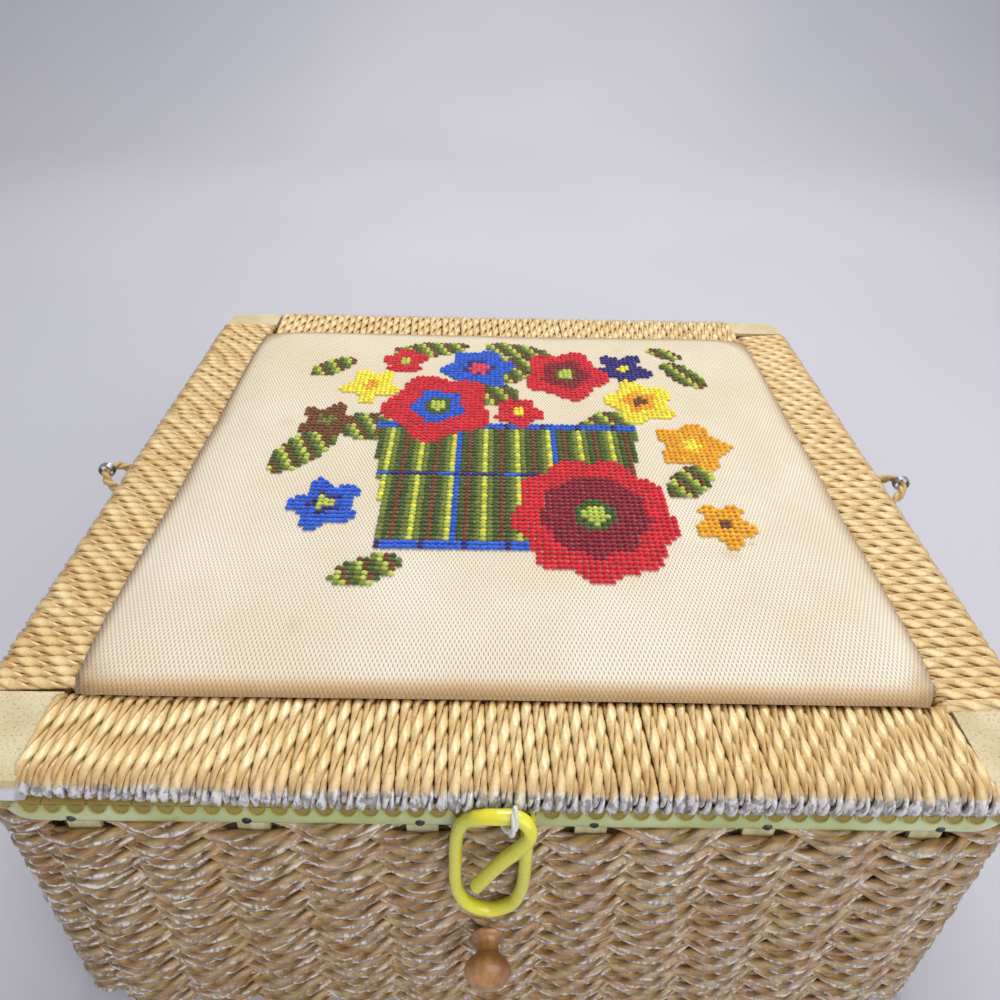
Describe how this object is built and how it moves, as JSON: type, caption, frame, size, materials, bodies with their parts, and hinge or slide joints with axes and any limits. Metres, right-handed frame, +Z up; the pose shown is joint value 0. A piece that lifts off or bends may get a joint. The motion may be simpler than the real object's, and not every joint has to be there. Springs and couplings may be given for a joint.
{
  "type": "sewing basket",
  "caption": "Woven rectangular sewing basket with a hinged, cord-wrapped lid, a padded needlework panel, a lined inside, side ears and a looped tube closure.",
  "frame": {"origin": "middle of the base's underside, on the surface it stands on", "axes": "+X along the wide side to the right as seen from the front, +Y to the back, +Z up; the closure and knob face -Y and the hinges are on +Y"},
  "size_m": [0.3602, 0.2785, 0.1571],
  "materials": {
    "base_wood": "plain sanded board",
    "knob_wood": "turned and lacquered",
    "frame_wood": "bare board, hidden by the wrap",
    "stake": "flat splints, matte",
    "woven_cord": "twisted paper cord, semi-gloss",
    "rim_vinyl": "soft glossy strip",
    "lace": "woven scalloped trim",
    "lining_satin": "quilted satin",
    "panel_card": "grey board",
    "pad_foam": "soft foam padding",
    "cover_cloth": "fine cellular weave with wool needlework",
    "wrap_cord": "twisted paper cord, semi-gloss",
    "ear_cord": "twisted paper cord, semi-gloss",
    "corner_vinyl": "fine mottled grain",
    "hinge_steel": "plated, worn",
    "clip_steel": "plated",
    "tether_thread": "waxed thread",
    "closure_vinyl": "soft glossy tube"
  },
  "bodies": {
    "basket": {"base_board": "base_wood", "stake_cage": "stake", "woven_wall": "woven_cord", "rim_strip": "rim_vinyl", "lace_trim": "lace", "lace_trim_back": "lace", "basket_lining": "lining_satin", "lining_floor": "lining_satin", "hinge_base_leaf_left": "hinge_steel", "hinge_base_leaf_right": "hinge_steel", "hinge_pin_left": "hinge_steel", "hinge_pin_right": "hinge_steel", "front_knob": "knob_wood", "ear_loop_left": "ear_cord", "ear_loop_right": "ear_cord", "ear_clip_left": "clip_steel", "ear_clip_right": "clip_steel"},
    "lid": {"lid_frame": "frame_wood", "winding_front": "wrap_cord", "winding_right": "wrap_cord", "winding_back": "wrap_cord", "winding_left": "wrap_cord", "corner_cover_front_right": "corner_vinyl", "corner_cover_front_left": "corner_vinyl", "corner_cover_back_right": "corner_vinyl", "corner_cover_back_left": "corner_vinyl", "panel_board": "panel_card", "foam_pad": "pad_foam", "needlework_cover": "cover_cloth", "lid_lining": "lining_satin", "hinge_lid_leaf_left": "hinge_steel", "hinge_lid_leaf_right": "hinge_steel", "closure_tether": "tether_thread"},
    "closure": {"closure_loop": "closure_vinyl"}
  },
  "joints": [
    {"name": "lid_hinge", "type": "hinge", "parent": "basket", "child": "lid", "pos_m": [0, 0.13145, 0.1386], "axis": [-1, 0, 0], "range_deg": [0, 105]},
    {"name": "closure_swing", "type": "hinge", "parent": "lid", "child": "closure", "pos_m": [0.001, -0.1354, 0.147], "axis": [-1, 0, 0], "range_deg": [0, 60]}
  ]
}
